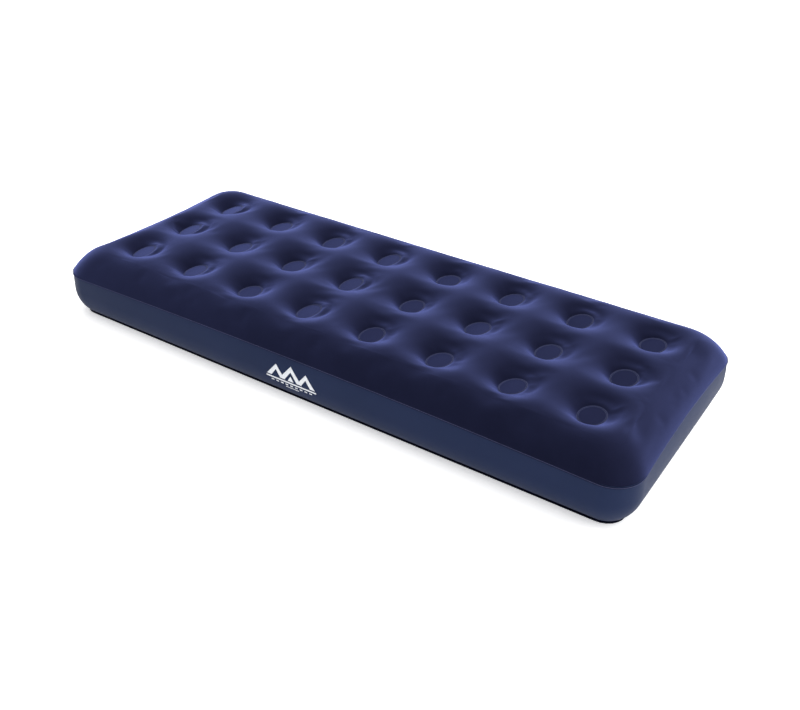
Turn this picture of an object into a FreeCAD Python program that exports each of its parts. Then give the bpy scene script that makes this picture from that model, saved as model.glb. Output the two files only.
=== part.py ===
"""Single air bed: flocked top sheet, side band and base sheet of soft vinyl, tied together by inner tubes.

The frame has +X along the bed's length, +Y across it and +Z up, with the origin on the floor under the
centre. The screw valve sits low in the -X end wall. Its parts are modelled about their own axis, with +Z
pointing out of the wall and +X up it, and are then placed on the wall.
"""

import FreeCAD
import Part
import Sketcher

import math
import os
import re

DIMENSIONS = {
    # the bed
    "bed_length": 1850,
    "bed_width": 760,
    "crest_height": 205,
    "sheet": 1.5,
    "corner_radius": 88,
    "shoulder_radius": 72,
    "skirt_low": 126,
    "band_top": 133,
    "bulge_height": 80,
    "bulge_radius": 97.5,
    "base_inset": 34,
    # the tubes that tie the top to the base, and the dimples over and under them
    "coils_along": 8,
    "coils_across": 3,
    "coil_pitch_along": 212,
    "coil_pitch_across": 200,
    "disc_radius": 40,
    "disc_height": 167,
    "lip_radius": 90,
    "lip_curve": 75,
    "lip_lap": 4,
    "base_disc_height": 22,
    "base_lip_radius": 70,
    "base_lip_curve": 45,
    "coil_radius": 34,
    "coil_wall": 1,
    "vent_radius": 8,
    # the valve's place on the end wall
    "valve_across": 170,
    "valve_height": 58,
    # the valve base: a flange welded on the wall round a socket
    "flange_radius": 34,
    "flange_thick": 1.8,
    "flange_gap": 0.05,
    "socket_outer": 24,
    "socket_inner": 21,
    "socket_depth": 24,
    "neck_height": 4,
    "wall_hole": 24.2,
    # the screw stem: a sleeve in the socket, a head with a milled rim, and the inflation port within it
    "gasket_thick": 1.5,
    "gasket_outer": 23.8,
    "sleeve_outer": 20.8,
    "sleeve_inner": 17,
    "sleeve_depth": 18,
    "head_radius": 27,
    "web_thick": 1.5,
    "rim_inner": 22.5,
    "rim_height": 12.5,
    "grip_notches": 18,
    "notch_radius": 2.2,
    "notch_bite": 0.9,
    "port_radius": 11,
    "port_outer": 13,
    "port_top": 9,
    "port_depth": 5,
    "seat_radius": 12.1,
    "seat_depth": 2.5,
    # the flip cap, whose plug sits in the wider seat at the port's mouth
    "cap_radius": 15,
    "cap_thick": 2.4,
    "cap_gap": 0.2,
    "plug_radius": 11.85,
    "plug_depth": 2.3,
    "plug_wall": 1.2,
    "cap_pin_reach": 18.5,
    "cap_pin_radius": 1.1,
    "cap_pin_half": 7,
    "cap_lug_half": 4.6,
    "cap_lug_radius": 2.2,
    "finger_tab_reach": 18.5,
    "finger_tab_half": 3.5,
    "finger_tab_thick": 1.2,
    # the one-way flap on the inner end of the port
    "flap_radius": 12,
    "flap_thick": 0.9,
    "flap_gap": 0.05,
    "flap_pin_reach": 14.6,
    "flap_pin_radius": 0.8,
    "flap_pin_half": 5.5,
    "flap_lug_half": 3.4,
    "flap_lug_radius": 1.5,
    "flap_ear_foot": 11.6,
    "flap_ear_rise": 4,
    # what both hinges share
    "pin_clearance": 0.05,
    "ear_gap": 0.4,
}

DOC = FreeCAD.newDocument("air_bed")
SUB_PARTS = []


def dimension_sheet():
    """One row for each driving dimension: its name in column A, its number in column B."""
    sheet = DOC.addObject("Spreadsheet::Sheet", "Dims")
    for row, (alias, value) in enumerate(DIMENSIONS.items(), start=1):
        sheet.set(f"A{row}", alias)
        sheet.set(f"B{row}", str(value))
        sheet.setAlias(f"B{row}", alias)
    DOC.recompute()
    return sheet


SHEET = dimension_sheet()


def formula(text):
    """text with every dimension's name turned into a reference to its cell."""
    return re.sub(r"[a-z_]+", lambda m: f"Dims.{m[0]}" if m[0] in DIMENSIONS else m[0], text)


def number(text):
    """What a formula comes to, in millimetres."""
    return float(SHEET.evalExpression(formula(text)))


def bind(thing, **formulas):
    """Sets properties from formulas. A double underscore in a property's name stands for a dot."""
    for name, text in formulas.items():
        thing.setExpression(name.replace("__", "."), formula(text))


def origin_item(body, role):
    return next(item for item in body.Origin.OriginFeatures if item.Role == role)


def new_body(name):
    return DOC.addObject("PartDesign::Body", name)


def new_sketch(body, name, plane, **offset):
    """A sketch on one of the body's own origin planes, moved by formulas for x, y and z."""
    sketch = body.newObject("Sketcher::SketchObject", name)
    sketch.AttachmentSupport = [(origin_item(body, plane), "")]
    sketch.MapMode = "FlatFace"
    bind(sketch, **{f"AttachmentOffset__Base__{axis}": text for axis, text in offset.items()})
    return sketch


def hold(sketch, kind, axis_line, geometry, point, text):
    """Fixes one coordinate of a sketch point by a formula."""
    value = number(text)
    if abs(value) < 1e-9:
        sketch.addConstraint(Sketcher.Constraint("PointOnObject", geometry, point, axis_line))
        return
    if value > 0:
        index = sketch.addConstraint(Sketcher.Constraint(kind, -1, 1, geometry, point, value))
        sketch.setExpression(f"Constraints[{index}]", formula(text))
    else:
        index = sketch.addConstraint(Sketcher.Constraint(kind, geometry, point, -1, 1, -value))
        sketch.setExpression(f"Constraints[{index}]", formula(f"-({text})"))


def draw_outline(sketch, corners):
    """A closed outline. Each corner is (x, y) or (x, y, radius). The radius bends the side that leaves the
    corner: its centre is on the left of the way round if it is positive, and on the right if negative."""
    spots = [FreeCAD.Vector(number(c[0]), number(c[1]), 0) for c in corners]
    ends = []
    for i, corner in enumerate(corners):
        a, b = spots[i], spots[(i + 1) % len(spots)]
        if len(corner) == 2:
            ends.append((sketch.addGeometry(Part.LineSegment(a, b)), 1, 2))
            continue
        radius = number(corner[2])
        chord = b - a
        across = FreeCAD.Vector(-chord.y, chord.x, 0).normalize()
        rise = math.sqrt(radius**2 - (chord.Length / 2) ** 2)
        centre = (a + b) * 0.5 + across * math.copysign(rise, radius)
        circle = Part.Circle(centre, FreeCAD.Vector(0, 0, 1), abs(radius))
        first, last = (a, b) if radius > 0 else (b, a)
        angles = [math.atan2(p.y - centre.y, p.x - centre.x) for p in (first, last)]
        geometry = sketch.addGeometry(Part.ArcOfCircle(circle, *angles))
        ends.append((geometry, 1, 2) if radius > 0 else (geometry, 2, 1))
    for i, corner in enumerate(corners):
        geometry, start, end = ends[i]
        following, next_start, _ = ends[(i + 1) % len(ends)]
        sketch.addConstraint(Sketcher.Constraint("Coincident", geometry, end, following, next_start))
        hold(sketch, "DistanceX", -2, geometry, start, corner[0])
        hold(sketch, "DistanceY", -1, geometry, start, corner[1])
        if len(corner) == 3:
            index = sketch.addConstraint(Sketcher.Constraint("Radius", geometry, abs(number(corner[2]))))
            sketch.setExpression(f"Constraints[{index}]", formula(f"abs({corner[2]})"))
    return sketch


def draw_circle(sketch, x, y, radius):
    centre = FreeCAD.Vector(number(x), number(y), 0)
    circle = Part.Circle(centre, FreeCAD.Vector(0, 0, 1), number(radius))
    geometry = sketch.addGeometry(circle)
    hold(sketch, "DistanceX", -2, geometry, 3, x)
    hold(sketch, "DistanceY", -1, geometry, 3, y)
    index = sketch.addConstraint(Sketcher.Constraint("Radius", geometry, number(radius)))
    sketch.setExpression(f"Constraints[{index}]", formula(radius))
    return sketch


def rounded_rectangle(inset):
    """The bed's plan outline, moved inwards by a formula, starting half way up the +X end."""
    x, y = f"bed_length / 2 - ({inset})", f"bed_width / 2 - ({inset})"
    cx, cy = "(bed_length / 2 - corner_radius)", "(bed_width / 2 - corner_radius)"
    r = f"corner_radius - ({inset})"
    return [
        (x, "0"),
        (x, cy, r),
        (cx, y),
        (f"-{cx}", y, r),
        (f"-({x})", cy),
        (f"-({x})", f"-{cy}", r),
        (f"-{cx}", f"-({y})"),
        (cx, f"-({y})", r),
        (x, f"-{cy}"),
    ]


def rectangle(sketch, x1, y1, x2, y2):
    return draw_outline(sketch, [(x1, y1), (x2, y1), (x2, y2), (x1, y2)])


def pad(body, name, sketch, length, symmetric=False):
    feature = body.newObject("PartDesign::Pad", name)
    feature.Profile = sketch
    feature.SideType = "Symmetric" if symmetric else "One side"
    bind(feature, Length=length)
    return feature


def cut(body, name, sketch, length):
    """A pocket, half its length to each side of the sketch. It has to take something away."""
    before = body.Shape.Volume
    feature = body.newObject("PartDesign::Pocket", name)
    feature.Profile = sketch
    feature.SideType = "Symmetric"
    bind(feature, Length=length)
    DOC.recompute()
    if body.Shape.Volume > before - 1e-3:
        raise RuntimeError(f"{name} cut nothing")
    return feature


def mirror(body, name, features):
    """Copies features to the other side of the body's XZ plane."""
    feature = body.newObject("PartDesign::Mirrored", name)
    feature.Originals = features
    feature.MirrorPlane = (origin_item(body, "XZ_Plane"), [""])
    body.Tip = feature
    return feature


def revolve(body, name, sketch, kind="Revolution"):
    """Turns a sketch a full turn about its own vertical axis. A "Revolution" adds and a "Groove" cuts."""
    feature = body.newObject(f"PartDesign::{kind}", name)
    feature.Profile = sketch
    feature.ReferenceAxis = (sketch, ["V_Axis"])
    feature.Angle = 360
    return feature


def repeat_over_coils(body, name, feature):
    """Copies a feature made at the first tube to every tube's place."""
    pattern = body.newObject("PartDesign::LinearPattern", name)
    pattern.Originals = [feature]
    pattern.Direction = (origin_item(body, "X_Axis"), [""])
    pattern.Direction2 = (origin_item(body, "Y_Axis"), [""])
    bind(
        pattern,
        Length="(coils_along - 1) * coil_pitch_along",
        Occurrences="coils_along",
        Length2="(coils_across - 1) * coil_pitch_across",
        Occurrences2="coils_across",
    )
    body.Tip = pattern
    return pattern


FIRST_COIL = {
    "x": "-(coils_along - 1) / 2 * coil_pitch_along",
    "z": "(coils_across - 1) / 2 * coil_pitch_across",
}


def edges_at_height(feature, height):
    """Names of a feature's edges that lie wholly at one height."""
    return [
        f"Edge{i}"
        for i, edge in enumerate(feature.Shape.Edges, start=1)
        if abs(edge.BoundBox.ZMin - height) < 1e-6 and abs(edge.BoundBox.ZMax - height) < 1e-6
    ]


def face_at_height(feature, height):
    """The name of a feature's flat face at one height."""
    for i, face in enumerate(feature.Shape.Faces, start=1):
        if abs(face.BoundBox.ZMin - height) < 1e-6 and abs(face.BoundBox.ZMax - height) < 1e-6:
            return f"Face{i}"
    raise ValueError(f"{feature.Name} has no face at height {height}")


def add_sub_part(thing, label):
    """Marks a document object as a sub-part, whose label names its file."""
    thing.Label = label
    SUB_PARTS.append(thing)
    return thing


DROP = "(bulge_height - valve_height)"
WALL = {
    "x": f"bulge_radius + sheet - bed_length / 2 - sqrt(bulge_radius ^ 2 - {DROP} ^ 2)",
    "y": "valve_across",
    "z": "valve_height",
}
WALL_ANGLE = f"-90 deg - asin({DROP} / bulge_radius)"
TILT_SIN = f"({DROP} / bulge_radius)"
TILT_COS = f"sqrt(1 - {TILT_SIN} ^ 2)"


def on_the_wall(body, label):
    """Places a valve part on the end wall, its own +Z along the wall's outward normal."""
    body.Placement.Rotation = FreeCAD.Rotation(FreeCAD.Vector(0, 1, 0), float(number(WALL_ANGLE)))
    bind(body, **{f"Placement__Base__{axis}": text for axis, text in WALL.items()})
    bind(body, Placement__Rotation__Angle=WALL_ANGLE)
    return add_sub_part(body, label)


def new_valve_sketch(body, name):
    """A sketch square to the valve's axis, at the wall's surface."""
    sketch = new_sketch(body, name, "XY_Plane", **WALL)
    offset = sketch.AttachmentOffset
    offset.Rotation = FreeCAD.Rotation(FreeCAD.Vector(0, 1, 0), float(number(WALL_ANGLE)))
    sketch.AttachmentOffset = offset
    bind(sketch, AttachmentOffset__Rotation__Angle=WALL_ANGLE)
    return sketch


def top_sheet():
    """The flocked top: a rounded shoulder, a dimple over each tube and a skirt over the band."""
    body = new_body("TopSheet")
    plan = draw_outline(
        new_sketch(body, "TopPlan", "XY_Plane", z="skirt_low"), rounded_rectangle("0")
    )
    block = pad(body, "TopBlock", plan, "crest_height - skirt_low")
    DOC.recompute()
    shoulder = body.newObject("PartDesign::Fillet", "TopShoulder")
    shoulder.Base = (block, edges_at_height(block, number("crest_height")))
    bind(shoulder, Radius="shoulder_radius")
    DOC.recompute()
    shell = body.newObject("PartDesign::Thickness", "TopShell")
    shell.Base = (shoulder, [face_at_height(shoulder, number("skirt_low"))])
    shell.Reversed = True
    bind(shell, Value="sheet")
    DOC.recompute()
    opening = draw_outline(
        new_sketch(body, "TopOpening", "XZ_Plane", **FIRST_COIL),
        [
            ("0", "crest_height - 2 * sheet"),
            ("lip_radius", "crest_height - 2 * sheet"),
            ("lip_radius", "crest_height + sheet"),
            ("0", "crest_height + sheet"),
        ],
    )
    repeat_over_coils(body, "TopOpenings", revolve(body, "TopOpeningCut", opening, "Groove"))
    DOC.recompute()
    dimple = draw_outline(
        new_sketch(body, "TopDimple", "XZ_Plane", **FIRST_COIL),
        [
            ("0", "disc_height - sheet"),
            ("disc_radius + sheet", "disc_height - sheet", "-(lip_curve - sheet)"),
            ("lip_radius", "crest_height - sheet"),
            ("lip_radius + lip_lap", "crest_height - sheet"),
            ("lip_radius + lip_lap", "crest_height"),
            ("lip_radius", "crest_height", "lip_curve"),
            ("disc_radius", "disc_height"),
            ("0", "disc_height"),
        ],
    )
    repeat_over_coils(body, "TopDimples", revolve(body, "TopDimpleShell", dimple))
    return add_sub_part(body, "top_sheet")


def base_sheet():
    """The smooth base: a flat sheet on the floor, drawn up in a dimple under each tube."""
    body = new_body("BaseSheet")
    plan = draw_outline(new_sketch(body, "BasePlan", "XY_Plane"), rounded_rectangle("base_inset"))
    pad(body, "BasePlate", plan, "sheet")
    opening = draw_outline(
        new_sketch(body, "BaseOpening", "XZ_Plane", **FIRST_COIL),
        [
            ("0", "-sheet"),
            ("base_lip_radius", "-sheet"),
            ("base_lip_radius", "2 * sheet"),
            ("0", "2 * sheet"),
        ],
    )
    DOC.recompute()
    repeat_over_coils(body, "BaseOpenings", revolve(body, "BaseOpeningCut", opening, "Groove"))
    DOC.recompute()
    dimple = draw_outline(
        new_sketch(body, "BaseDimple", "XZ_Plane", **FIRST_COIL),
        [
            ("0", "base_disc_height"),
            ("disc_radius", "base_disc_height", "base_lip_curve"),
            ("base_lip_radius", "0"),
            ("base_lip_radius + lip_lap", "0"),
            ("base_lip_radius + lip_lap", "sheet"),
            ("base_lip_radius", "sheet", "-(base_lip_curve - sheet)"),
            ("disc_radius + sheet", "base_disc_height + sheet"),
            ("0", "base_disc_height + sheet"),
        ],
    )
    repeat_over_coils(body, "BaseDimples", revolve(body, "BaseDimpleShell", dimple))
    return add_sub_part(body, "base_sheet")


def side_band():
    """The side wall: straight where the top's skirt laps it, then bulging in to the base's edge."""
    body = new_body("SideBand")
    path = draw_outline(new_sketch(body, "BandPath", "XY_Plane"), rounded_rectangle("sheet"))
    outer = "(bed_length / 2 - sheet)"
    middle = f"{outer} - bulge_radius"
    foot = "(bulge_height - sheet)"
    profile = draw_outline(
        new_sketch(body, "BandProfile", "XZ_Plane"),
        [
            (f"{outer} - sheet", "band_top"),
            (f"{outer} - sheet", "bulge_height", "-(bulge_radius - sheet)"),
            (f"{middle} + sqrt((bulge_radius - sheet) ^ 2 - {foot} ^ 2)", "sheet"),
            (f"{middle} + sqrt(bulge_radius ^ 2 - {foot} ^ 2)", "sheet", "bulge_radius"),
            (outer, "bulge_height"),
            (outer, "band_top"),
        ],
    )
    wall = body.newObject("PartDesign::AdditivePipe", "BandWall")
    wall.Profile = profile
    wall.Spine = (path, [])
    DOC.recompute()
    hole = draw_circle(new_valve_sketch(body, "ValveHole"), "0", "0", "wall_hole")
    cut(body, "ValveHoleCut", hole, "bulge_height")
    return add_sub_part(body, "side_band")


def coil_beam(row, column):
    """One inner tube with air vents, welded by its end flanges to the top's disc and the base's disc."""
    low, high = "(base_disc_height + sheet)", "(disc_height - sheet)"
    body = new_body(f"CoilBeam{row}{column}")
    profile = draw_outline(
        new_sketch(body, "CoilProfile", "XZ_Plane"),
        [
            ("coil_radius - coil_wall", low),
            ("disc_radius", low),
            ("disc_radius", f"{low} + coil_wall"),
            ("coil_radius", f"{low} + coil_wall"),
            ("coil_radius", f"{high} - coil_wall"),
            ("disc_radius", f"{high} - coil_wall"),
            ("disc_radius", high),
            ("coil_radius - coil_wall", high),
        ],
    )
    revolve(body, "CoilTube", profile)
    for plane in ("XZ_Plane", "YZ_Plane"):
        side = new_sketch(body, f"Vent{plane[:2]}", plane)
        vent = draw_circle(side, "0", f"({low} + {high}) / 2", "vent_radius")
        DOC.recompute()
        cut(body, f"VentCut{plane[:2]}", vent, "3 * coil_radius")
    bind(
        body,
        Placement__Base__x=f"({column} - (coils_along + 1) / 2) * coil_pitch_along",
        Placement__Base__y=f"({row} - (coils_across + 1) / 2) * coil_pitch_across",
    )
    return add_sub_part(body, f"coil_beam_r{row}c{column}")


def valve_base():
    """The welded flange, curved with the wall and straight above its bulge, and the stem's socket."""
    body = new_body("ValveBase")
    edge = "(flange_radius + flange_thick)"
    corners = []
    for radius in ("(bulge_radius + flange_gap + flange_thick)", "(bulge_radius + flange_gap)"):
        bend = (f"{radius} * {TILT_SIN}", f"{radius} * {TILT_COS} - bulge_radius")
        straight = f"({edge} - {bend[0]}) * {TILT_SIN} / {TILT_COS}"
        corners.append(
            [
                (edge, f"{bend[1]} - {straight}"),
                (*bend, radius),
                (f"-{edge}", f"sqrt({radius} ^ 2 - {edge} ^ 2) - bulge_radius"),
            ]
        )
    outside, inside = corners
    back = [inside[2] + (f"-{inside[1][2]}",), inside[1][:2], inside[0]]
    saddle = draw_outline(new_sketch(body, "SaddleProfile", "XZ_Plane"), outside + back)
    pad(body, "Saddle", saddle, f"2 * {edge}", symmetric=True)
    rim = new_sketch(body, "FlangeEdge", "XY_Plane")
    draw_circle(rim, "0", "0", "flange_radius")
    draw_circle(rim, "0", "0", "2 * flange_radius")
    DOC.recompute()
    cut(body, "FlangeTrim", rim, "4 * socket_depth")
    tube = new_sketch(body, "SocketOutside", "XY_Plane", z="-socket_depth")
    draw_circle(tube, "0", "0", "socket_outer")
    pad(body, "Socket", tube, "socket_depth + neck_height")
    bore = draw_circle(new_sketch(body, "SocketInside", "XY_Plane"), "0", "0", "socket_inner")
    DOC.recompute()
    cut(body, "SocketBore", bore, "4 * socket_depth")
    return on_the_wall(body, "valve_base")


def stem_gasket():
    """The flat ring between the socket's neck and the stem's head."""
    body = new_body("StemGasket")
    ring = new_sketch(body, "GasketRing", "XY_Plane", z="neck_height")
    draw_circle(ring, "0", "0", "gasket_outer")
    draw_circle(ring, "0", "0", "socket_inner")
    pad(body, "Gasket", ring, "gasket_thick")
    return on_the_wall(body, "stem_gasket")


HEAD_FOOT = "(neck_height + gasket_thick)"
CAP_PIN_HEIGHT = "(port_top + cap_gap + cap_thick / 2)"
FLAP_PIN_HEIGHT = "(-port_depth - flap_gap - flap_thick / 2)"


def valve_stem():
    """Sleeve, head, milled rim and inflation port in one moulding, with ears for the two hinge pins."""
    body = new_body("ValveStem")
    web_top = f"{HEAD_FOOT} + web_thick"
    profile = draw_outline(
        new_sketch(body, "StemProfile", "XZ_Plane"),
        [
            ("port_radius", "-port_depth"),
            ("port_outer", "-port_depth"),
            ("port_outer", HEAD_FOOT),
            ("sleeve_inner", HEAD_FOOT),
            ("sleeve_inner", "-sleeve_depth"),
            ("sleeve_outer", "-sleeve_depth"),
            ("sleeve_outer", HEAD_FOOT),
            ("head_radius", HEAD_FOOT),
            ("head_radius", "rim_height"),
            ("rim_inner", "rim_height"),
            ("rim_inner", web_top),
            ("port_outer", web_top),
            ("port_outer", "port_top"),
            ("seat_radius", "port_top"),
            ("seat_radius", "port_top - seat_depth"),
            ("port_radius", "port_top - seat_depth"),
        ],
    )
    revolve(body, "StemTurned", profile)
    cap_ear = "(cap_lug_half + ear_gap)"
    cap_post = rectangle(
        new_sketch(body, "CapEarPlan", "XY_Plane", z=web_top),
        "cap_pin_reach - cap_lug_radius",
        cap_ear,
        "cap_pin_reach + cap_lug_radius",
        "cap_pin_half",
    )
    post = pad(body, "CapEar", cap_post, f"{CAP_PIN_HEIGHT} - ({web_top}) + cap_lug_radius")
    flap_post = rectangle(
        new_sketch(body, "FlapEarPlan", "XY_Plane", z=FLAP_PIN_HEIGHT),
        "flap_ear_foot",
        "flap_lug_half + ear_gap",
        "flap_pin_reach + flap_lug_radius",
        "flap_pin_half",
    )
    bracket = pad(body, "FlapEar", flap_post, "flap_ear_rise")
    knuckle = draw_circle(
        new_sketch(body, "FlapKnuckle", "XZ_Plane", z="-(flap_lug_half + ear_gap)"),
        "flap_pin_reach",
        FLAP_PIN_HEIGHT,
        "flap_lug_radius",
    )
    eye = pad(body, "FlapEarEye", knuckle, "flap_pin_half - flap_lug_half - ear_gap")
    eye.Reversed = True
    DOC.recompute()
    mirror(body, "OtherEars", [post, bracket, eye])
    DOC.recompute()
    cap_hole = new_sketch(body, "CapPinHole", "XZ_Plane")
    draw_circle(cap_hole, "cap_pin_reach", CAP_PIN_HEIGHT, "cap_pin_radius")
    cut(body, "CapPinCut", cap_hole, "3 * cap_pin_half")
    flap_hole = new_sketch(body, "FlapPinHole", "XZ_Plane")
    draw_circle(flap_hole, "flap_pin_reach", FLAP_PIN_HEIGHT, "flap_pin_radius")
    DOC.recompute()
    cut(body, "FlapPinCut", flap_hole, "3 * flap_pin_half")
    notch = draw_circle(
        new_sketch(body, "GripNotch", "XY_Plane", z="rim_height"),
        "head_radius + notch_radius - notch_bite",
        "0",
        "notch_radius",
    )
    DOC.recompute()
    groove = cut(body, "GripNotchCut", notch, f"2 * (rim_height - {HEAD_FOOT} - web_thick)")
    DOC.recompute()
    grip = body.newObject("PartDesign::PolarPattern", "GripNotches")
    grip.Originals = [groove]
    grip.Axis = (origin_item(body, "Z_Axis"), [""])
    grip.Angle = 360
    bind(grip, Occurrences="grip_notches")
    body.Tip = grip
    return on_the_wall(body, "valve_stem")


def inflation_cap():
    """The flip cap: a lid with a hollow plug, a barrel round the hinge pin and a finger tab."""
    body = new_body("InflationCap")
    under, top = "(port_top + cap_gap)", "(port_top + cap_gap + cap_thick)"
    profile = draw_outline(
        new_sketch(body, "LidProfile", "XZ_Plane"),
        [
            ("0", under),
            ("plug_radius - plug_wall", under),
            ("plug_radius - plug_wall", f"{under} - plug_depth"),
            ("plug_radius", f"{under} - plug_depth"),
            ("plug_radius", under),
            ("cap_radius", under),
            ("cap_radius", top),
            ("0", top),
        ],
    )
    revolve(body, "Lid", profile)
    arm = rectangle(
        new_sketch(body, "ArmPlan", "XY_Plane", z=under),
        "plug_radius + plug_wall",
        "-cap_lug_half",
        "cap_pin_reach",
        "cap_lug_half",
    )
    pad(body, "Arm", arm, "cap_thick")
    tab = rectangle(
        new_sketch(body, "TabPlan", "XY_Plane", z=f"{top} - finger_tab_thick"),
        "-finger_tab_reach",
        "-finger_tab_half",
        "-(plug_radius + plug_wall)",
        "finger_tab_half",
    )
    pad(body, "FingerTab", tab, "finger_tab_thick")
    barrel = ("cap_pin_reach", CAP_PIN_HEIGHT, "cap_lug_radius", "cap_lug_half")
    hinge_barrel(body, *barrel, "cap_pin_radius")
    return on_the_wall(body, "inflation_cap")


def check_flap():
    """The one-way flap that air pressure holds against the inner end of the port."""
    body = new_body("CheckFlap")
    low = "(-port_depth - flap_gap - flap_thick)"
    disc = draw_circle(new_sketch(body, "DiscPlan", "XY_Plane", z=low), "0", "0", "flap_radius")
    pad(body, "Disc", disc, "flap_thick")
    arm = rectangle(
        new_sketch(body, "FlapArmPlan", "XY_Plane", z=low),
        "port_radius - flap_lug_half",
        "-flap_lug_half",
        "flap_pin_reach",
        "flap_lug_half",
    )
    pad(body, "FlapArm", arm, "flap_thick")
    barrel = ("flap_pin_reach", FLAP_PIN_HEIGHT, "flap_lug_radius", "flap_lug_half")
    hinge_barrel(body, *barrel, "flap_pin_radius")
    return on_the_wall(body, "check_flap")


def hinge_pin(label, reach, height, half, radius):
    """A plain pin along Y."""
    body = new_body(label.title().replace("_", ""))
    section = draw_circle(new_sketch(body, "PinSection", "XZ_Plane"), reach, height, radius)
    pad(body, "Pin", section, f"2 * {half}", symmetric=True)
    return on_the_wall(body, label)


def hinge_barrel(body, reach, height, radius, half, pin_radius):
    """A barrel along Y round a hinge pin, bored with running clearance."""
    section = draw_circle(new_sketch(body, "BarrelSection", "XZ_Plane"), reach, height, radius)
    pad(body, "Barrel", section, f"2 * {half}", symmetric=True)
    bore = new_sketch(body, "BarrelBore", "XZ_Plane")
    draw_circle(bore, reach, height, f"{pin_radius} + pin_clearance")
    DOC.recompute()
    cut(body, "BarrelBoreCut", bore, f"3 * {half}")


def failures():
    """Every object that did not recompute, and every sub-part without a valid solid."""
    broken = [item.Name for item in DOC.Objects if {"Invalid", "Error"} & set(item.State)]
    for sub_part in SUB_PARTS:
        shape = sub_part.Shape
        if shape.isNull() or not shape.isValid() or not shape.Solids:
            broken.append(sub_part.Label)
    return broken


def main():
    top_sheet()
    side_band()
    base_sheet()
    for row in range(1, DIMENSIONS["coils_across"] + 1):
        for column in range(1, DIMENSIONS["coils_along"] + 1):
            coil_beam(row, column)
    valve_base()
    stem_gasket()
    valve_stem()
    hinge_pin("cap_pin", "cap_pin_reach", CAP_PIN_HEIGHT, "cap_pin_half", "cap_pin_radius")
    hinge_pin("flap_pin", "flap_pin_reach", FLAP_PIN_HEIGHT, "flap_pin_half", "flap_pin_radius")
    inflation_cap()
    check_flap()
    DOC.recompute()
    broken = failures()
    if broken:
        raise RuntimeError(f"not built: {broken}")
    os.makedirs("parts", exist_ok=True)
    for sub_part in SUB_PARTS:
        sub_part.Shape.exportStep(f"parts/{sub_part.Label}.step")
        print(f"{sub_part.Label}: {sub_part.Shape.Volume / 1000:.2f} cm3")


main()
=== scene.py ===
"""Looks for the inflated single air bed: flocked top, side band, base, weld beads, print and valve."""

import math

import bmesh
import bpy
import numpy as np
from mathutils import Matrix, Vector


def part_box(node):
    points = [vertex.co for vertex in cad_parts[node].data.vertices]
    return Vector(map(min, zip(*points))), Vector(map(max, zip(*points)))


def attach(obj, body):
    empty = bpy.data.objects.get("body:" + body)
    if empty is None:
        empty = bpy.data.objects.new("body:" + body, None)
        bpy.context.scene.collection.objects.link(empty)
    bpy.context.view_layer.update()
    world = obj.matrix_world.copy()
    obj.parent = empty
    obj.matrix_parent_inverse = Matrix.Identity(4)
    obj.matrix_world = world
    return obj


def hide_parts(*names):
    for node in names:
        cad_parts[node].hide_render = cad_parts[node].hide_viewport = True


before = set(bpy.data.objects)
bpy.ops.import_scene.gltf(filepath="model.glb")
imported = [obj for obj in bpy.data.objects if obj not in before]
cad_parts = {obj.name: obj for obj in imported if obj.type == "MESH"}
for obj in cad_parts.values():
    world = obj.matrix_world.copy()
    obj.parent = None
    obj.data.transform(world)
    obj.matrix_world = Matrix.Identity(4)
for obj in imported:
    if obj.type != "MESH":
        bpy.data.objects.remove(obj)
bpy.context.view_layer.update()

# ----------------------------------------------------------------------------------------------------
# Places and sizes, in metres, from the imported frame
# ----------------------------------------------------------------------------------------------------
ROWS, COLUMNS = 3, 8
TOP_LOW, TOP_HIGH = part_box("top_sheet")
HALF_LENGTH, HALF_WIDTH = TOP_HIGH.x, TOP_HIGH.y
CREST = TOP_HIGH.z
SKIRT_LOW = TOP_LOW.z
BAND_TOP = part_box("side_band")[1].z
CORNER_RADIUS = 0.088      # of the bed's outline, as in the CAD model
SHEET = 0.0015             # thickness of the CAD model's sheets


def coil_box(row, column):
    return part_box(f"coil_beam_r{row}c{column}")


def disc_centres():
    """Plan position of every tube."""
    boxes = [coil_box(r, c) for r in range(1, ROWS + 1) for c in range(1, COLUMNS + 1)]
    return np.array([[(lo.x + hi.x) / 2, (lo.y + hi.y) / 2] for lo, hi in boxes])


CENTRES = disc_centres()
PITCH_X = (CENTRES[:, 0].max() - CENTRES[:, 0].min()) / (COLUMNS - 1)
PITCH_Y = (CENTRES[:, 1].max() - CENTRES[:, 1].min()) / (ROWS - 1)
DISC_RADIUS = (coil_box(1, 1)[1].x - coil_box(1, 1)[0].x) / 2
DISC_TOP = coil_box(1, 1)[1].z + SHEET
DISC_BASE = coil_box(1, 1)[0].z - SHEET
WELD_RADIUS = 0.91 * DISC_RADIUS  # the ring along which the top is welded to a tube's flange


# ----------------------------------------------------------------------------------------------------
# Mesh helpers
# ----------------------------------------------------------------------------------------------------
def new_piece(name, points, faces, smooth=True):
    mesh = bpy.data.meshes.new(name)
    mesh.from_pydata([tuple(p) for p in np.asarray(points, float)], [], faces)
    mesh.validate()
    mesh.update()
    for polygon in mesh.polygons:
        polygon.use_smooth = smooth
    piece = bpy.data.objects.new(name, mesh)
    bpy.context.scene.collection.objects.link(piece)
    return piece


def merge_points(piece, distance=2e-5):
    """Joins points that share a place."""
    mesh = bmesh.new()
    mesh.from_mesh(piece.data)
    bmesh.ops.remove_doubles(mesh, verts=mesh.verts, dist=distance)
    mesh.to_mesh(piece.data)
    mesh.free()
    for polygon in piece.data.polygons:
        polygon.use_smooth = True


def vertex_places(piece):
    return np.array([v.co for v in piece.data.vertices])


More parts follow.
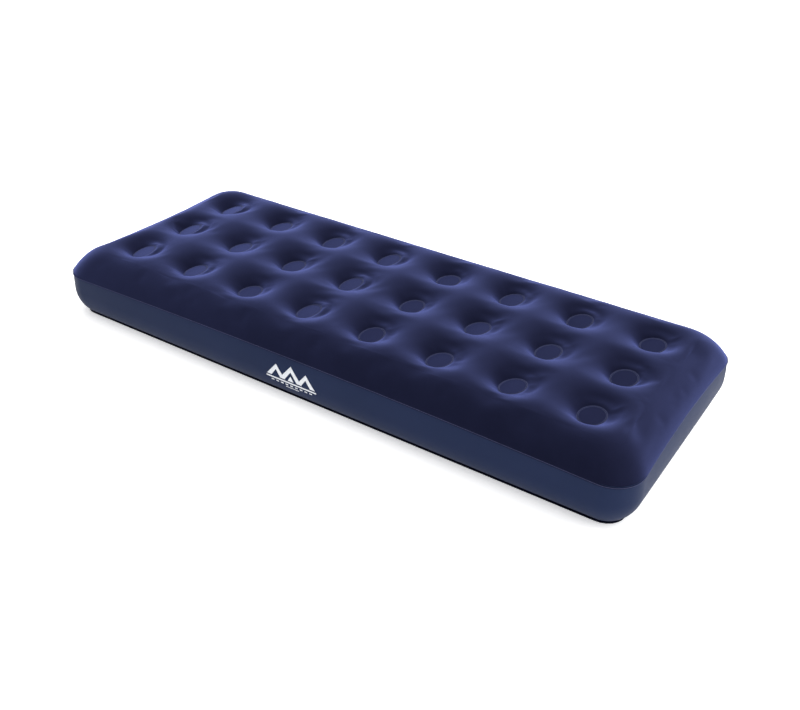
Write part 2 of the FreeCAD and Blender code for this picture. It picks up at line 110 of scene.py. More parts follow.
def grid_faces(rows, columns, closed_rows=False, closed_columns=False, offset=0, flip=False):
    """Quads of a grid of points stored row by row."""
    faces = []
    for i in range(rows if closed_rows else rows - 1):
        for j in range(columns if closed_columns else columns - 1):
            i2, j2 = (i + 1) % rows, (j + 1) % columns
            quad = [i * columns + j, i * columns + j2, i2 * columns + j2, i2 * columns + j]
            faces.append([offset + v for v in (reversed(quad) if flip else quad)])
    return faces


def subdivide(piece):
    modifier = piece.modifiers.new("Subdivision", "SUBSURF")
    modifier.levels = 1
    modifier.render_levels = 1


def smoothstep(t):
    t = np.clip(t, 0.0, 1.0)
    return t * t * (3 - 2 * t)


# ----------------------------------------------------------------------------------------------------
# The bed's outline: a rounded rectangle
# ----------------------------------------------------------------------------------------------------
CORNER_SHRINK = 0.35       # how fast the outline's corners sharpen on the way in: 1 would keep one centre
SEAM_RISE = (0.009, 0.008)   # the seam's rise in the middle of a long side and of an end
SEAM_INSET = (0.007, 0.011)  # how far the seam is drawn in there


def inward_distance(xy):
    """How far inside the outline a plan point is, measured so that the inner outlines keep round corners."""
    dx = np.abs(xy[..., 0]) - (HALF_LENGTH - CORNER_RADIUS)
    dy = np.abs(xy[..., 1]) - (HALF_WIDTH - CORNER_RADIUS)
    straight = CORNER_RADIUS - np.maximum(dx, dy)
    shift = 1 - CORNER_SHRINK
    square = 2 * shift**2 - CORNER_SHRINK**2
    linear = shift * (dx + dy) + CORNER_SHRINK * CORNER_RADIUS
    constant = dx**2 + dy**2 - CORNER_RADIUS**2
    rounded = (np.sqrt(np.maximum(linear**2 - square * constant, 0)) - linear) / square
    in_corner = (dx + shift * rounded > 0) & (dy + shift * rounded > 0)
    return np.where(in_corner, rounded, straight)


def towards_middle(xy, side, end):
    """0 at the corners of the outline, side in the middle of a long side, end in the middle of an end."""
    along = side * (1 - (xy[..., 0] / HALF_LENGTH) ** 2)
    return along + end * (1 - (xy[..., 1] / HALF_WIDTH) ** 2)


def seam_rise(xy):
    """How far the seam rises between the corners."""
    return towards_middle(xy, *SEAM_RISE)


def seam_inset(xy):
    """How far the seam is drawn in between the corners, where the band leans in above its bulge."""
    return towards_middle(xy, *SEAM_INSET)


def outline_point(s):
    """Plan point and outward normal at arc length s from the middle of the +Y side towards +X."""
    core_x = HALF_LENGTH - CORNER_RADIUS
    core_y = HALF_WIDTH - CORNER_RADIUS
    arc = CORNER_RADIUS * math.pi / 2
    if s <= core_x:
        return (s, HALF_WIDTH), (0.0, 1.0)
    if s <= core_x + arc:
        angle = math.pi / 2 - (s - core_x) / CORNER_RADIUS
        normal = (math.cos(angle), math.sin(angle))
        return (core_x + CORNER_RADIUS * normal[0], core_y + CORNER_RADIUS * normal[1]), normal
    return (HALF_LENGTH, core_y - (s - core_x - arc)), (1.0, 0.0)


def outline_stations(step):
    """Points and outward normals evenly round the outline, anticlockwise from the middle of the +X end."""
    quarter = (HALF_LENGTH - CORNER_RADIUS) + (HALF_WIDTH - CORNER_RADIUS) + CORNER_RADIUS * math.pi / 2
    count = max(8, round(quarter / step))
    first = [outline_point(quarter * (1 - i / count)) for i in range(count)]
    second = [outline_point(quarter * i / count) for i in range(count)]
    half = first + [((-x, y), (-nx, ny)) for (x, y), (nx, ny) in second]
    whole = half + [((-x, -y), (-nx, -ny)) for (x, y), (nx, ny) in half]
    points = np.array([p for p, _ in whole])
    normals = np.array([n for _, n in whole])
    return points, normals


# ----------------------------------------------------------------------------------------------------
# The flocked top
# ----------------------------------------------------------------------------------------------------
SHOULDER_RUN = 0.118       # how far in from the side the top is still falling away
SHOULDER_FALL = 2.1        # how the fall grows towards the side
SHOULDER_LEAN = 1.2        # 1 leans in straight from the seam, 2 stands upright there
FUNNEL_REACH = 0.032       # how fast a dimple's wall runs out to the crest
FUNNEL_POWER = 1.05        # above 1, the wall starts out flatter at the disc
CREST_SPARE = 0.007        # the crest between the dimples would stand this much higher without them
DISC_LEAN = (0.200, 0.140)  # slope of the discs, which the tubes pull a little askew
LEAN_VARIES = 0.35         # how much the lean differs from disc to disc
LEAN_GROWS = 0.3           # how much steeper the discs lean towards the -X end, and flatter towards the +X
LEAN_ENDS = 0.030          # the lean dies out this far beyond a disc
SKIRT_LAP = 0.004          # the skirt's edge stands upright over the band
CELL_SIDE = 13             # faces along each side of a tube's cell
DISC_RINGS = (0.0, 0.2, 0.4, 0.6, 0.74, 0.84, 0.92, 1.0)
WALL_RINGS = 18            # rings of faces from a disc out to its cell's edge
WALL_SPREAD = 1.35         # above 1, those rings crowd towards the disc
EDGE_RINGS = 16            # rings of faces from the block of cells out to the seam
CLOTH_FRAMES = 16
CLOTH_REACH = 0.005        # no point moves further than this while the sheet settles
HELD_AT_DISC = 0.001       # the cloth is held this far beyond a disc's weld
HELD_AT_SEAM = 0.030       # and this far in from the outline
PUCKER = 0.0007            # the gathers round a disc, before the sheet settles
PUCKER_START, PUCKER_END = 0.010, 0.020  # where out from the weld they are full, and how far they run on
FAN = 0.22                 # length each side of a corner over which the stations spread to reach round it


def dimple_share(xy, radius, reach, power):
    """1 on a tube's disc, falling to 0 between the tubes."""
    keep = np.ones(xy.shape[:-1])
    for centre in CENTRES:
        r = np.hypot(xy[..., 0] - centre[0], xy[..., 1] - centre[1])
        keep *= 1 - np.exp(-(np.maximum(r - radius, 0) / reach) ** power)
    return 1 - keep


def shoulder_height(xy):
    """Height of the top without its dimples."""
    t = np.clip(1 - (inward_distance(xy) - seam_inset(xy)) / SHOULDER_RUN, 0, 1)
    foot = SKIRT_LOW + SKIRT_LAP + seam_rise(xy)
    return foot + (CREST + CREST_SPARE - foot) * np.maximum(1 - t**SHOULDER_FALL, 0) ** (1 / SHOULDER_LEAN)


def disc_slopes():
    """Slope along X and Y of every disc: all lean the same way, none by quite the same amount."""
    index = np.arange(len(CENTRES))
    towards_end = 1 - LEAN_GROWS * CENTRES[:, 0] / HALF_LENGTH
    along = DISC_LEAN[0] * (1 + LEAN_VARIES * np.sin(2.4 * index + 0.5)) * towards_end
    across = DISC_LEAN[1] * (1 + LEAN_VARIES * np.cos(1.7 * index))
    return np.column_stack([along, across])


SLOPES = disc_slopes()


def disc_height(xy):
    """Height of the leaning discs, none of which comes down to its tube's flange."""
    height = np.full(xy.shape[:-1], DISC_TOP)
    for centre, slope in zip(CENTRES, SLOPES):
        offset = xy - centre
        r = np.hypot(offset[..., 0], offset[..., 1])
        fade = 1 - smoothstep((r - WELD_RADIUS) / LEAN_ENDS)
        lift = DISC_RADIUS * math.hypot(*slope)
        height += fade * (lift + offset @ slope)
    return height


def puckers(xy):
    """Small gathers that run out from every weld, where a flat sheet is drawn down to a ring."""
    height = np.zeros(xy.shape[:-1])
    for k, centre in enumerate(CENTRES):
        offset = xy - centre
        out = np.hypot(offset[..., 0], offset[..., 1]) - WELD_RADIUS
        angle = np.arctan2(offset[..., 1], offset[..., 0])
        rise = np.clip(out / PUCKER_START, 0, 1) * np.exp(-np.maximum(out, 0) / PUCKER_END)
        waves = np.sin(9 * angle + 1.9 * k) + 0.6 * np.sin(14 * angle + 0.7 * k)
        waves += 0.5 * np.sin(5 * angle + 2.3 * k)
        height += PUCKER * rise * waves / 2
    return height


def top_height(xy):
    plain = shoulder_height(xy)
    share = dimple_share(xy, WELD_RADIUS, FUNNEL_REACH, FUNNEL_POWER)
    return plain - np.maximum(plain - disc_height(xy), 0) * share + puckers(xy)


def settle(piece, welded):
    """Lets the sheet settle as cloth under the air's pressure between its welds, and caps the moves."""
    before = vertex_places(piece)
    group = piece.vertex_groups.new(name="welded")
    group.add([int(i) for i in np.flatnonzero(welded)], 1.0, "REPLACE")
    modifier = piece.modifiers.new("Cloth", "CLOTH")
    cloth = modifier.settings
    cloth.vertex_group_mass = group.name
    cloth.quality = 4
    cloth.mass = 0.3
    cloth.tension_stiffness = 40
    cloth.compression_stiffness = 40
    cloth.shear_stiffness = 20
    cloth.bending_stiffness = 10
    cloth.air_damping = 4
    cloth.shrink_min = -0.002
    cloth.use_pressure = True
    cloth.uniform_pressure_force = 4
    cloth.effector_weights.gravity = 0
    modifier.point_cache.frame_end = CLOTH_FRAMES
    scene = bpy.context.scene
    for number in range(1, CLOTH_FRAMES + 1):
        scene.frame_set(number)
    settled = piece.evaluated_get(bpy.context.evaluated_depsgraph_get()).to_mesh()
    move = np.array([v.co for v in settled.vertices]) - before
    piece.modifiers.remove(modifier)
    scene.frame_set(1)
    length = np.linalg.norm(move, axis=1)
    move *= (np.minimum(length, CLOTH_REACH) / np.maximum(length, 1e-9))[:, None]
    piece.data.vertices.foreach_set("co", (before + move).ravel())
    piece.data.update()


def cell_loop(centre):
    """Points round one tube's rectangular cell, anticlockwise from its lower left corner."""
    hx, hy = PITCH_X / 2, PITCH_Y / 2
    corners = np.array([[-hx, -hy], [hx, -hy], [hx, hy], [-hx, hy]]) + centre
    loop = []
    for k in range(4):
        a, b = corners[k], corners[(k + 1) % 4]
        loop += [a + (b - a) * i / CELL_SIDE for i in range(CELL_SIDE)]
    return np.array(loop)


def cell_patch(centre):
    """Rings from the middle of a disc out to the edge of its cell."""
    loop = cell_loop(centre)
    around = loop - centre
    unit = around / np.linalg.norm(around, axis=1)[:, None]
    rings = [centre + unit * WELD_RADIUS * f for f in DISC_RINGS]
    for k in range(1, WALL_RINGS + 1):
        t = (k / WALL_RINGS) ** WALL_SPREAD
        rings.append((centre + unit * WELD_RADIUS) * (1 - t) + loop * t)
    return np.array(rings)


def inner_rectangle():
    """Points round the block of cells, anticlockwise, as the cells' own edges have them."""
    hx, hy = COLUMNS * PITCH_X / 2, ROWS * PITCH_Y / 2
    nx, ny = COLUMNS * CELL_SIDE, ROWS * CELL_SIDE
    bottom = [(-hx + 2 * hx * i / nx, -hy) for i in range(nx)]
    right = [(hx, -hy + 2 * hy * i / ny) for i in range(ny)]
    loop = bottom + right + [(-x, -y) for x, y in bottom] + [(-x, -y) for x, y in right]
    return np.array(loop) + CENTRES.mean(axis=0)


def outline_partner(point):
    """The outline's point and normal that a point on the block of cells' edge is joined to."""
    hx, hy = COLUMNS * PITCH_X / 2, ROWS * PITCH_Y / 2
    x, y = abs(point[0]), abs(point[1])
    arc = CORNER_RADIUS * math.pi / 2
    corner_s = HALF_LENGTH - CORNER_RADIUS + arc / 2
    full_s = HALF_LENGTH - CORNER_RADIUS + arc + HALF_WIDTH - CORNER_RADIUS
    if hy - y < hx - x:
        t = max(0.0, (x - (hx - FAN)) / FAN)
        s = x + (corner_s - hx) * t * t
    else:
        t = max(0.0, (y - (hy - FAN)) / FAN)
        s = full_s - y - (full_s - corner_s - hy) * t * t
    (px, py), (nx, ny) = outline_point(s)
    sx, sy = math.copysign(1, point[0]), math.copysign(1, point[1])
    return (px * sx, py * sy), (nx * sx, ny * sy)


def build_top():
    points, faces = [], []
    count = 0
    for centre in CENTRES:
        rings = cell_patch(centre)
        n = rings.shape[1]
        flat = rings.reshape(-1, 2)
        points.append(np.column_stack([flat, top_height(flat)]))
        faces += grid_faces(len(rings), n, closed_columns=True, offset=count, flip=True)
        count += len(flat)
    inner = inner_rectangle()
    partners = [outline_partner(p) for p in inner]
    normal = np.array([n for _, n in partners])
    outer = np.array([p for p, _ in partners])
    outer -= normal * seam_inset(outer)[:, None]
    reach = inward_distance(inner)
    rings = []
    for k in range(EDGE_RINGS + 1):
        f = k / EDGE_RINGS
        share_in = 1 - math.sin(f * math.pi / 2)
        depth = reach * share_in
        straight = outer - normal * depth[:, None]
        w = smoothstep(share_in)
        ring = straight * (1 - w) + inner * w
        rings.append(np.column_stack([ring, top_height(ring)]))
    rings.append(np.column_stack([outer, SKIRT_LOW + seam_rise(outer)]))
    rings = np.array(rings)
    points.append(rings.reshape(-1, 3))
    faces += grid_faces(rings.shape[0], rings.shape[1], closed_columns=True, offset=count, flip=True)
    piece = new_piece("flocked_top", np.vstack(points), faces)
    merge_points(piece)
    plan = vertex_places(piece)[:, :2]
    nearest = np.min([np.hypot(*(plan - centre).T) for centre in CENTRES], axis=0)
    settle(piece, (nearest < WELD_RADIUS + HELD_AT_DISC) | (inward_distance(plan) < HELD_AT_SEAM))
    subdivide(piece)
    return piece


# ----------------------------------------------------------------------------------------------------
# Weld beads round each disc
# ----------------------------------------------------------------------------------------------------
BEADS = ((0.985, 0.0009), (0.90, 0.0006))  # share of the weld's radius, and radius of the bead


def build_weld_beads():
    """Two fine raised lines round every disc, where the tube's flange is welded under the top."""
    points, faces = [], []
    around, section = 72, 6
    start = 0
    for centre in CENTRES:
        for share, size in BEADS:
            a = np.repeat(np.arange(around) * 2 * math.pi / around, section)
            b = np.tile(np.arange(section) * 2 * math.pi / section, around)
            r = WELD_RADIUS * share + size * np.cos(b)
            xy = centre + np.column_stack([r * np.cos(a), r * np.sin(a)])
            points.append(np.column_stack([xy, disc_height(xy) + 0.7 * size * np.sin(b)]))
            faces += grid_faces(around, section, closed_rows=True, closed_columns=True, offset=start)
            start += around * section
    return new_piece("disc_weld_beads", np.vstack(points), faces)


# ----------------------------------------------------------------------------------------------------
# The smooth side band
# ----------------------------------------------------------------------------------------------------
BULGE_HEIGHT = 0.080       # where the band is widest, as in the CAD model
BULGE_RADIUS = 0.0975      # of its curve below that
BAND_TUCK = 0.0022         # how far the band stands inside the top's skirt
BAND_STEP = 0.004          # size of the band's faces
LOWER_RINGS, UPPER_RINGS = 32, 16
VALVE_HOLE = 0.026         # radius of the band's hole under the valve's flange


def band_profile():
    """(inset, height) of the bulging stretch, from its widest line down to the base."""
    low = math.asin((BULGE_HEIGHT - SHEET) / BULGE_RADIUS)
    angles = [low * k / LOWER_RINGS for k in range(LOWER_RINGS + 1)]
    insets = [BAND_TUCK + BULGE_RADIUS * (1 - math.cos(a)) for a in angles]
    heights = [BULGE_HEIGHT - BULGE_RADIUS * math.sin(a) for a in angles]
    return list(zip(insets, heights))


def cut_valve_hole(piece):
    """Takes out the faces that the valve's socket passes through; the flange hides the edge."""
    low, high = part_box("stem_gasket")
    middle = (low + high) / 2
    mesh = bmesh.new()
    mesh.from_mesh(piece.data)
    at_end = [v for v in mesh.verts if v.co.x < -HALF_LENGTH / 2]
    inside = [v for v in at_end if math.hypot(v.co.y - middle.y, v.co.z - middle.z) < VALVE_HOLE]
    bmesh.ops.delete(mesh, geom=inside, context="VERTS")
    mesh.to_mesh(piece.data)
    mesh.free()


def build_band():
    outline, normal = outline_stations(BAND_STEP)
    rings = []
    upper = BAND_TOP + seam_rise(outline)
    for k in range(UPPER_RINGS, 0, -1):
        share = k / UPPER_RINGS
        inset = BAND_TUCK + seam_inset(outline) * share**2
        ring = outline - normal * inset[:, None]
        rings.append(np.column_stack([ring, BULGE_HEIGHT + (upper - BULGE_HEIGHT) * share]))
    for inset, z in band_profile():
        rings.append(np.column_stack([outline - normal * inset, np.full(len(outline), z)]))
    rings = np.array(rings)
    faces = grid_faces(rings.shape[0], rings.shape[1], closed_columns=True, flip=True)
    piece = new_piece("smooth_band", rings.reshape(-1, 3), faces)
    cut_valve_hole(piece)
    return piece


def band_inset(x, z):
    """How far the band of a long side stands in from the outline."""
    xy = np.column_stack([x, np.full(len(x), HALF_WIDTH)])
    below = np.maximum(BULGE_HEIGHT - z, 0)
    share = np.maximum(z - BULGE_HEIGHT, 0) / (BAND_TOP + seam_rise(xy) - BULGE_HEIGHT)
    return BAND_TUCK + BULGE_RADIUS - np.sqrt(BULGE_RADIUS**2 - below**2) + seam_inset(xy) * share**2


SEAM_BEAD = 0.0008         # radius of the rib along the skirt
SEAM_BEAD_RISE = 0.0035    # how far it runs above the skirt's edge


def build_seam_bead():
    """The fine rib that the welding bar leaves along the skirt, just above its edge."""
    outline, normal = outline_stations(0.012)
    outline = outline - normal * seam_inset(outline)[:, None]
    count, section = len(outline), 6
    b = np.arange(section) * 2 * math.pi / section
    out = SEAM_BEAD * np.cos(b)
    up = SEAM_BEAD * np.sin(b)
    plan = outline[:, None, :] + normal[:, None, :] * out[None, :, None]
    height = (SKIRT_LOW + SEAM_BEAD_RISE + seam_rise(outline))[:, None] + up[None, :]
    points = np.concatenate([plan, height[:, :, None]], axis=2).reshape(-1, 3)
    return new_piece("seam_bead", points, grid_faces(count, section, closed_rows=True, closed_columns=True))


# ----------------------------------------------------------------------------------------------------
# The print: plain peaks over a ground line, a row of dashes and a bar
# ----------------------------------------------------------------------------------------------------
PRINT_X, PRINT_Z = -0.032, 0.080  # middle of the print on the front side
INK = 0.0003               # thickness of the print


def slab(left, right, low, high):
    return ((left, low), (right, low), (right, high), (left, high))


def peak(middle, half, low, high, thick):
    """A chevron's two strokes, as corner points."""
    left = ((middle - half - thick, low), (middle - half, low), (middle, high - thick), (middle, high))
    right = tuple((2 * middle - x, z) for x, z in reversed(left))
    return [left, right]


def print_shapes():
    shapes = peak(-0.050, 0.015, -0.010, 0.028, 0.016) + peak(0.050, 0.015, -0.010, 0.028, 0.016)
    shapes += peak(0.0, 0.021, -0.010, 0.036, 0.017)
    shapes.append(((-0.010, -0.010), (0.010, -0.010), (0.0, 0.006), (0.0, 0.006)))
    shapes.append(slab(-0.084, 0.084, -0.0195, -0.0145))
    shapes += [slab(x - 0.0045, x + 0.0045, -0.0285, -0.0245) for x in np.linspace(-0.064, 0.064, 9)]
    shapes.append(slab(-0.022, 0.022, -0.0370, -0.0345))
    return shapes


def build_print():
    """Each shape is a grid between its four corners, laid on the band."""
    points, faces = [], []
    steps = 9
    for shape in print_shapes():
        corners = np.array(shape)
        s, t = np.meshgrid(np.linspace(0, 1, steps), np.linspace(0, 1, steps))
        s, t = s.reshape(-1, 1), t.reshape(-1, 1)
        low = corners[0] * (1 - s) + corners[1] * s
        high = corners[3] * (1 - s) + corners[2] * s
        flat = low * (1 - t) + high * t
        x, z = PRINT_X + flat[:, 0], PRINT_Z + flat[:, 1]
        y = -(HALF_WIDTH - band_inset(x, z) + 0.5 * INK)
        faces += grid_faces(steps, steps, offset=sum(len(p) for p in points))
        points.append(np.column_stack([x, y, z]))
    piece = new_piece("printed_mark", np.vstack(points), faces)
    merge_points(piece)
    thick = piece.modifiers.new("Ink", "SOLIDIFY")
    thick.thickness = INK
    return piece


# ----------------------------------------------------------------------------------------------------
# The base sheet
# ----------------------------------------------------------------------------------------------------
FIN_INSET = 0.034          # how far the base's weld fin stands in from the outline
FIN_HEIGHT = 0.0022
BASE_CLEAR = 0.0006        # height of the base sheet over the floor between its dimples
BASE_REACH = 0.016         # how fast a base dimple's wall runs out
BASE_RINGS = 6


def base_height(xy):
    share = dimple_share(xy, DISC_RADIUS, BASE_REACH, 1.0)
    return BASE_CLEAR + (DISC_BASE - BASE_CLEAR) * share


def build_base():
    points, faces = [], []
    count = 0
    for centre in CENTRES:
        rings = cell_patch(centre)
        flat = rings.reshape(-1, 2)
        points.append(np.column_stack([flat, base_height(flat)]))
        faces += grid_faces(len(rings), rings.shape[1], closed_columns=True, offset=count)
        count += len(flat)
    inner = inner_rectangle()
    partners = [outline_partner(p) for p in inner]
    outer = np.array([p for p, _ in partners])
    normal = np.array([n for _, n in partners])
    edge = outer - normal * FIN_INSET
    rings = []
    for k in range(BASE_RINGS + 1):
        ring = inner + (edge - inner) * k / BASE_RINGS
        rings.append(np.column_stack([ring, base_height(ring)]))
    rings.append(np.column_stack([edge, np.full(len(edge), FIN_HEIGHT)]))
    rings = np.array(rings)
    points.append(rings.reshape(-1, 3))
    faces += grid_faces(rings.shape[0], rings.shape[1], closed_columns=True, offset=count)
    piece = new_piece("smooth_base", np.vstack(points), faces)
    merge_points(piece)
    return piece


# ----------------------------------------------------------------------------------------------------
# Materials
# ----------------------------------------------------------------------------------------------------
def new_material(name):
    material = bpy.data.materials.new(name)
    material.use_nodes = True
    nodes = material.node_tree.nodes
    shader = nodes["Principled BSDF"]
    return material, nodes, material.node_tree.links, shader


def noise(nodes, links, scale, detail=3.0, roughness=0.5, coordinates="Object"):
    place = nodes.new("ShaderNodeTexCoord")
    texture = nodes.new("ShaderNodeTexNoise")
    texture.inputs["Scale"].default_value = scale
    texture.inputs["Detail"].default_value = detail
    texture.inputs["Roughness"].default_value = roughness
    links.new(place.outputs[coordinates], texture.inputs["Vector"])
    return texture.outputs["Fac"]


def mix_colours(nodes, links, factor, low, high, start=0.3, end=0.7):
    ramp = nodes.new("ShaderNodeValToRGB")
    ramp.color_ramp.elements[0].position = start
    ramp.color_ramp.elements[0].color = (*low, 1)
    ramp.color_ramp.elements[1].position = end
    ramp.color_ramp.elements[1].color = (*high, 1)
    links.new(factor, ramp.inputs["Fac"])
    return ramp.outputs["Color"]


def bump(nodes, links, height, strength, distance, after=None):
    node = nodes.new("ShaderNodeBump")
    node.inputs["Strength"].default_value = strength
    node.inputs["Distance"].default_value = distance
    links.new(height, node.inputs["Height"])
    if after is not None:
        links.new(after, node.inputs["Normal"])
    return node.outputs["Normal"]


def flock_material():
    """Short navy flock: dark where it is looked into, bright along its edges."""
    material, nodes, links, shader = new_material("navy_flock")
    brushed = noise(nodes, links, 9.0, 3.0, 0.55)
    fibre = noise(nodes, links, 900.0, 2.0, 0.6)
    colour = mix_colours(nodes, links, brushed, (0.0052, 0.0059, 0.0165), (0.0070, 0.0080, 0.0222))
    links.new(colour, shader.inputs["Base Color"])
    links.new(bump(nodes, links, fibre, 0.35, 0.0004), shader.inputs["Normal"])
    shader.inputs["Roughness"].default_value = 0.9
    shader.inputs["Specular IOR Level"].default_value = 0.02
    shader.inputs["Sheen Weight"].default_value = 1.0
    shader.inputs["Sheen Roughness"].default_value = 0.42
    shader.inputs["Sheen Tint"].default_value = (0.182, 0.226, 0.62, 1)
    return material


def vinyl_material(name, low, high, roughness=0.5, grain=0.15, shine=0.08):
    """Calendered vinyl: cloudy colour, fine leathery grain and slow waves where the sheet is tight."""
    material, nodes, links, shader = new_material(name)
    cloudy = noise(nodes, links, 4.0, 2.0, 0.5)
    fine = noise(nodes, links, 1400.0, 2.0, 0.6)
    waves = noise(nodes, links, 14.0, 2.0, 0.4)
    links.new(mix_colours(nodes, links, cloudy, low, high), shader.inputs["Base Color"])
    slow = bump(nodes, links, waves, 0.25, 0.004)
    links.new(bump(nodes, links, fine, grain, 0.0002, after=slow), shader.inputs["Normal"])
    shader.inputs["Roughness"].default_value = roughness
    shader.inputs["Specular IOR Level"].default_value = shine
    return material


def plastic_material(name, low, high, roughness=0.42):
    """Moulded plastic: a fine spark-eroded texture, faint flow marks, and scuffs that turn it dull."""
    material, nodes, links, shader = new_material(name)
    flow = noise(nodes, links, 60.0, 3.0, 0.5)
    texture = noise(nodes, links, 2600.0, 2.0, 0.7)
    scuffs = noise(nodes, links, 220.0, 6.0, 0.75)
    links.new(mix_colours(nodes, links, flow, low, high), shader.inputs["Base Color"])
    dull = mix_colours(nodes, links, scuffs, (roughness,) * 3, (roughness + 0.25,) * 3, 0.45, 0.75)
    links.new(dull, shader.inputs["Roughness"])
    links.new(bump(nodes, links, texture, 0.2, 0.00008), shader.inputs["Normal"])
    shader.inputs["Specular IOR Level"].default_value = 0.45
    return material


def ink_material():
    """White ink, printed a little unevenly."""
    material, nodes, links, shader = new_material("white_ink")
    speckle = noise(nodes, links, 800.0, 4.0, 0.7)
    colour = mix_colours(nodes, links, speckle, (0.50, 0.52, 0.56), (0.74, 0.76, 0.80), 0.3, 0.5)
    links.new(colour, shader.inputs["Base Color"])
    links.new(bump(nodes, links, speckle, 0.2, 0.0001), shader.inputs["Normal"])
    shader.inputs["Roughness"].default_value = 0.55
    shader.inputs["Specular IOR Level"].default_value = 0.2
    return material


def dress(thing, material):
    thing.data.materials.clear()
    thing.data.materials.append(material)


# ----------------------------------------------------------------------------------------------------
# Assembly
# ----------------------------------------------------------------------------------------------------
def main():
    flock = flock_material()
    band_vinyl = vinyl_material("band_vinyl", (0.0106, 0.0188, 0.0545), (0.0130, 0.0222, 0.0625), shine=0.06)
    base_vinyl = vinyl_material("base_vinyl", (0.010, 0.014, 0.040), (0.013, 0.018, 0.048), 0.6, 0.4)
    tube_vinyl = vinyl_material("tube_vinyl", (0.16, 0.17, 0.20), (0.20, 0.21, 0.24), 0.45, 0.2, 0.3)
    bead = vinyl_material("weld_bead", (0.033, 0.039, 0.086), (0.042, 0.049, 0.104), 0.6)
    valve_vinyl = vinyl_material("valve_vinyl", (0.012, 0.018, 0.048), (0.015, 0.022, 0.056), 0.4, 0.1, 0.3)
    charcoal = plastic_material("valve_charcoal", (0.018, 0.019, 0.022), (0.026, 0.027, 0.031))
    cap_grey = plastic_material("cap_grey", (0.030, 0.032, 0.037), (0.042, 0.044, 0.050), 0.38)
    rubber = plastic_material("gasket_rubber", (0.010, 0.010, 0.011), (0.016, 0.016, 0.017), 0.7)
    milky = plastic_material("flap_milky", (0.42, 0.44, 0.46), (0.50, 0.52, 0.54), 0.35)
    finishes = {
        "valve_base": valve_vinyl,
        "stem_gasket": rubber,
        "inflation_cap": cap_grey,
        "check_flap": milky,
    }

    top = build_top()
    dress(top, flock)
    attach(top, "mattress")
    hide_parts("top_sheet")

    beads = build_weld_beads()
    dress(beads, bead)
    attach(beads, "mattress")

    seam = build_seam_bead()
    dress(seam, bead)
    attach(seam, "mattress")

    band = build_band()
    dress(band, band_vinyl)
    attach(band, "mattress")
    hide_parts("side_band")

    mark = build_print()
    dress(mark, ink_material())
    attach(mark, "mattress")

    base = build_base()
    dress(base, base_vinyl)
    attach(base, "mattress")
    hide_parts("base_sheet")

    for name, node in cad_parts.items():
        if name not in ("top_sheet", "side_band", "base_sheet"):
            dress(node, tube_vinyl if name.startswith("coil_beam") else finishes.get(name, charcoal))


# ----------------------------------------------------------------------------------------------------
# Camera, light and floor
# ----------------------------------------------------------------------------------------------------
CAMERA_PLACE = (1.3678, -2.0518, 1.4906)
CAMERA_YAW = math.radians(-32.30)
CAMERA_PITCH = math.radians(31.50)
CAMERA_ROLL = math.radians(1.93)
FOCAL_PIXELS = 971.6
FRAME_PIXELS = 800


def build_camera():
    camera_data = bpy.data.cameras.new("camera")
    camera_data.sensor_width = 36.0
    camera_data.lens = FOCAL_PIXELS / FRAME_PIXELS * camera_data.sensor_width
    camera_data.clip_end = 100
    camera = bpy.data.objects.new("camera", camera_data)
    bpy.context.scene.collection.objects.link(camera)
    yaw, pitch, roll = CAMERA_YAW, CAMERA_PITCH, CAMERA_ROLL
    forward = Vector((math.sin(yaw) * math.cos(pitch), math.cos(yaw) * math.cos(pitch), -math.sin(pitch)))
    right = forward.cross(Vector((0, 0, 1))).normalized()
    up = right.cross(forward)
    right, up = (
        right * math.cos(roll) + up * math.sin(roll),
        up * math.cos(roll) - right * math.sin(roll),
    )
    turn = Matrix((right, up, -forward)).transposed().to_4x4()
    camera.matrix_world = Matrix.Translation(CAMERA_PLACE) @ turn
    bpy.context.scene.camera = camera


SKY_TOWARDS = (0.27, 0.70, 0.66)  # where the soft studio light is brightest
SKY_DIM, SKY_BRIGHT = 0.12, 3.4
SKY_FOCUS = 2.6            # above 1, the bright part of the sky is smaller
BACKDROP = 1.0             # brightness of the plain backdrop that the camera sees
FLOOR_HALF, FLOOR_DROP = 30.0, 0.0005


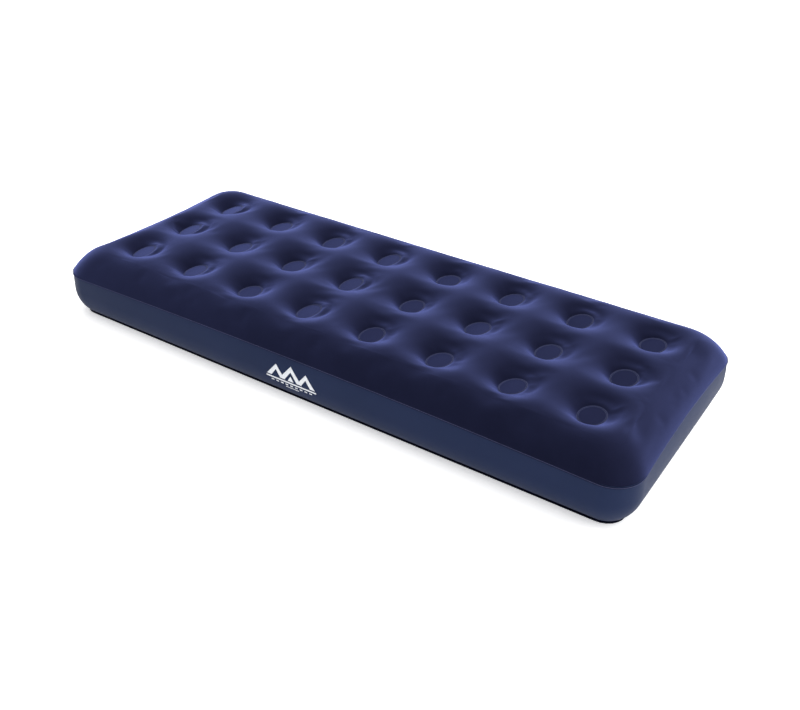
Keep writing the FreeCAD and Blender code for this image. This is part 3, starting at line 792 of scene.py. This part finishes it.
def build_sky():
    """Soft light from all round, brightest from above and behind."""
    world = bpy.data.worlds.new("studio")
    bpy.context.scene.world = world
    world.use_nodes = True
    nodes, links = world.node_tree.nodes, world.node_tree.links
    nodes["Background"].inputs["Color"].default_value = (1, 1, 1, 1)
    place = nodes.new("ShaderNodeTexCoord")
    facing = nodes.new("ShaderNodeVectorMath")
    facing.operation = "DOT_PRODUCT"
    facing.inputs[1].default_value = Vector(SKY_TOWARDS).normalized()
    links.new(place.outputs["Generated"], facing.inputs[0])
    share = nodes.new("ShaderNodeMapRange")
    share.inputs["From Min"].default_value = -1.0
    share.inputs["From Max"].default_value = 1.0
    links.new(facing.outputs["Value"], share.inputs["Value"])
    focus = nodes.new("ShaderNodeMath")
    focus.operation = "POWER"
    focus.inputs[1].default_value = SKY_FOCUS
    links.new(share.outputs["Result"], focus.inputs[0])
    strength = nodes.new("ShaderNodeMapRange")
    strength.inputs["To Min"].default_value = SKY_DIM
    strength.inputs["To Max"].default_value = SKY_BRIGHT
    links.new(focus.outputs["Value"], strength.inputs["Value"])
    rays = nodes.new("ShaderNodeLightPath")
    seen = nodes.new("ShaderNodeMix")
    links.new(rays.outputs["Is Camera Ray"], seen.inputs["Factor"])
    links.new(strength.outputs["Result"], seen.inputs["A"])
    seen.inputs["B"].default_value = BACKDROP
    links.new(seen.outputs["Result"], nodes["Background"].inputs["Strength"])


def build_studio():
    corners = ((-1, -1), (1, -1), (1, 1), (-1, 1))
    points = [(x * FLOOR_HALF, y * FLOOR_HALF, -FLOOR_DROP) for x, y in corners]
    floor = new_piece("floor", points, [[0, 1, 2, 3]], smooth=False)
    material, _, _, shader = new_material("floor_paint")
    shader.inputs["Base Color"].default_value = (0.92, 0.92, 0.92, 1)
    shader.inputs["Emission Color"].default_value = (1, 1, 1, 1)
    shader.inputs["Emission Strength"].default_value = 0.45
    shader.inputs["Roughness"].default_value = 0.9
    dress(floor, material)
    build_sky()
    bpy.context.scene.view_settings.view_transform = "Standard"
    bpy.context.scene.view_settings.look = "None"


main()
build_camera()
build_studio()
